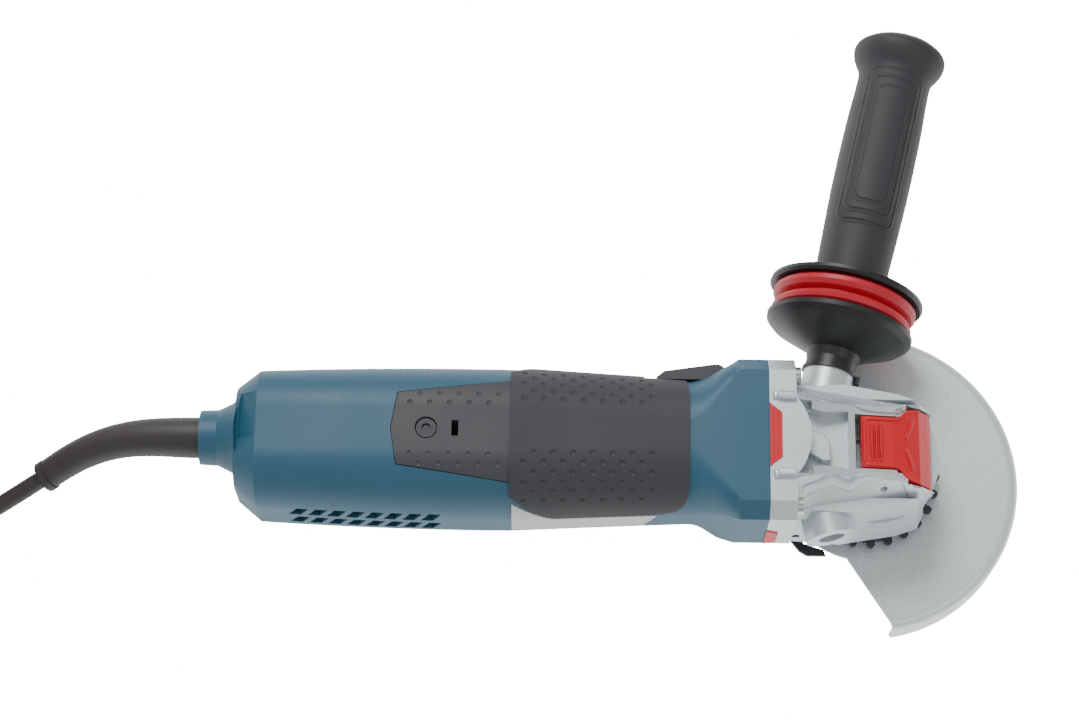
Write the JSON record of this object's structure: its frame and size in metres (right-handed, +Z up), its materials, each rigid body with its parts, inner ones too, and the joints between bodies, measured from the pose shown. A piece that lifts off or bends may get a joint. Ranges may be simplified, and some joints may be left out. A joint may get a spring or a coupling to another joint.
{
  "type": "angle grinder",
  "caption": "Corded 125 mm angle grinder with a slide switch, damped side handle, turnable disc guard and a lift-up disc release lever; no disc fitted.",
  "frame": {"origin": "on the floor under the middle of the tool's box, cord left out", "axes": "+X towards the nose, +Y to the tool's left where the side handle stands, +Z up; the tool leans back on its heel, so its motor axis rises 4.8 degrees to the nose"},
  "size_m": [0.6059, 0.2771, 0.09],
  "materials": {
    "blue_housing": "fine-grained glass-filled nylon, matt blue",
    "grey_rubber": "soft overmoulded grip, dimpled, matt",
    "grey_plastic": "dark grey moulded plastic, matt",
    "silver_casting": "fine metallic silver lacquer on a die casting",
    "guard_silver": "pale sparkling silver coat on pressed steel",
    "red_plastic": "satin red moulded plastic",
    "red_rubber": "red elastomer bellows, satin",
    "black_plastic": "black moulded plastic, satin",
    "handle_rubber": "dark grey soft grip, fine textured",
    "label_film": "blank pale label film",
    "zinc_steel": "bright zinc-plated steel",
    "ground_steel": "ground and hardened steel",
    "dark_steel": "blackened steel",
    "bearing_steel": "polished bearing steel",
    "lamination_steel": "stacked electrical steel",
    "copper_wire": "enamelled copper wire",
    "carbon": "pressed carbon",
    "seal_rubber": "black nitrile rubber",
    "cable_rubber": "dark flexible rubber sheath",
    "circuit_resin": "potted electronics"
  },
  "bodies": {
    "body": {"rear_housing": "blue_housing", "service_cover": "grey_plastic", "service_cover_screw": "dark_steel", "motor_housing": "blue_housing", "soft_grip": "grey_rubber", "label_plate": "label_film", "cable_clamp": "black_plastic", "stator_core": "lamination_steel", "stator_windings": "copper_wire", "motor_bearings": "bearing_steel", "bearing_cushion": "seal_rubber", "brush_holders": "copper_wire", "brush_spring_upper": "zinc_steel", "brush_spring_lower": "zinc_steel", "speed_controller": "circuit_resin", "switch_unit": "black_plastic", "gear_flange": "silver_casting", "red_inserts": "red_plastic", "gear_head_screws": "zinc_steel", "flange_key": "grey_plastic", "gear_head": "silver_casting", "bearing_plate": "silver_casting", "bearing_plate_screws": "zinc_steel", "spindle_bearings": "bearing_steel", "dust_seal": "seal_rubber", "lever_pins": "ground_steel", "plunger_spring": "zinc_steel", "handle_stud": "zinc_steel", "handle_washer": "black_plastic", "handle_cone": "black_plastic", "handle_bellows": "red_rubber", "handle_flange": "black_plastic", "handle_grip": "handle_rubber", "cable_sleeve": "cable_rubber", "cable_tube": "cable_rubber", "cable_coil": "cable_rubber", "coil_tie": "black_plastic", "mains_plug": "black_plastic"},
    "armature": {"armature_shaft": "ground_steel", "armature_core": "lamination_steel", "armature_windings": "copper_wire", "commutator": "copper_wire", "cooling_fan": "grey_plastic", "pinion": "ground_steel", "pinion_nut": "zinc_steel", "armature_bearing_inner": "bearing_steel"},
    "spindle": {"spindle": "ground_steel", "crown_gear": "ground_steel", "spindle_bearing_inner": "bearing_steel"},
    "release_lever": {"release_lever": "red_plastic"},
    "lock_plunger": {"lock_plunger": "ground_steel"},
    "jaw_front": {"clamp_jaw_front": "ground_steel"},
    "jaw_rear": {"clamp_jaw_rear": "ground_steel"},
    "guard": {"guard_shell": "guard_silver", "ratchet_ring": "grey_plastic"},
    "guard_lever": {"guard_lever": "dark_steel"},
    "switch": {"switch_slider": "grey_plastic", "switch_rod": "black_plastic"},
    "brush_upper": {"carbon_brush_upper": "carbon"},
    "brush_lower": {"carbon_brush_lower": "carbon"}
  },
  "joints": [
    {"name": "armature_spin", "type": "hinge", "parent": "body", "child": "armature", "pos_m": [0.11334, -0.06826, 0.05421], "axis": [0.9965, 0, 0.083], "continuous": true},
    {"name": "spindle_spin", "type": "hinge", "parent": "body", "child": "spindle", "pos_m": [0.11334, -0.06826, 0.05421], "axis": [-0.083, -0.0147, 0.9964], "continuous": true},
    {"name": "release_lever_lift", "type": "hinge", "parent": "body", "child": "release_lever", "pos_m": [0.11454, -0.06849, 0.06996], "axis": [0.0012, -0.9999, -0.0146], "range_deg": [0, 55], "stiffness_Nm_per_rad": 0.08, "springref_deg": -17.19},
    {"name": "lock_plunger_push", "type": "slide", "parent": "body", "child": "lock_plunger", "axis": [0.083, 0.0147, -0.9964], "range_m": [0, 0.004], "deforming": ["plunger_spring"]},
    {"name": "jaw_front_retract", "type": "slide", "parent": "spindle", "child": "jaw_front", "axis": [-0.9965, 0, -0.083], "range_m": [0, 0.0018]},
    {"name": "jaw_rear_retract", "type": "slide", "parent": "spindle", "child": "jaw_rear", "axis": [0.9965, 0, 0.083], "range_m": [0, 0.0018]},
    {"name": "guard_turn", "type": "hinge", "parent": "body", "child": "guard", "pos_m": [0.11633, -0.06773, 0.01833], "axis": [-0.083, -0.0147, 0.9964], "range_deg": [-100, 170]},
    {"name": "guard_lever_pull", "type": "hinge", "parent": "body", "child": "guard_lever", "pos_m": [0.08259, -0.0938, 0.01976], "axis": [0.083, 0.0147, -0.9964], "range_deg": [0, 10], "stiffness_Nm_per_rad": 0.05, "springref_deg": -11.46},
    {"name": "switch_slide", "type": "slide", "parent": "body", "child": "switch", "axis": [0.9965, 0, 0.083], "range_m": [0, 0.006]},
    {"name": "brush_upper_wear", "type": "slide", "parent": "body", "child": "brush_upper", "axis": [-0.083, -0.0147, 0.9964], "range_m": [0, 0.004], "stiffness_N_per_m": 250, "springref_m": -0.006, "deforming": ["brush_spring_upper"]},
    {"name": "brush_lower_wear", "type": "slide", "parent": "body", "child": "brush_lower", "axis": [0.083, 0.0147, -0.9964], "range_m": [0, 0.004], "stiffness_N_per_m": 250, "springref_m": -0.006, "deforming": ["brush_spring_lower"]}
  ],
  "couplings": [
    {"joint": "spindle_spin", "follows": "armature_spin", "ratio": -0.27027},
    {"joint": "release_lever_lift", "follows": "lock_plunger_push", "rad_per_m": 239.98},
    {"joint": "jaw_front_retract", "follows": "lock_plunger_push", "ratio": 0.45},
    {"joint": "jaw_rear_retract", "follows": "lock_plunger_push", "ratio": 0.45}
  ]
}
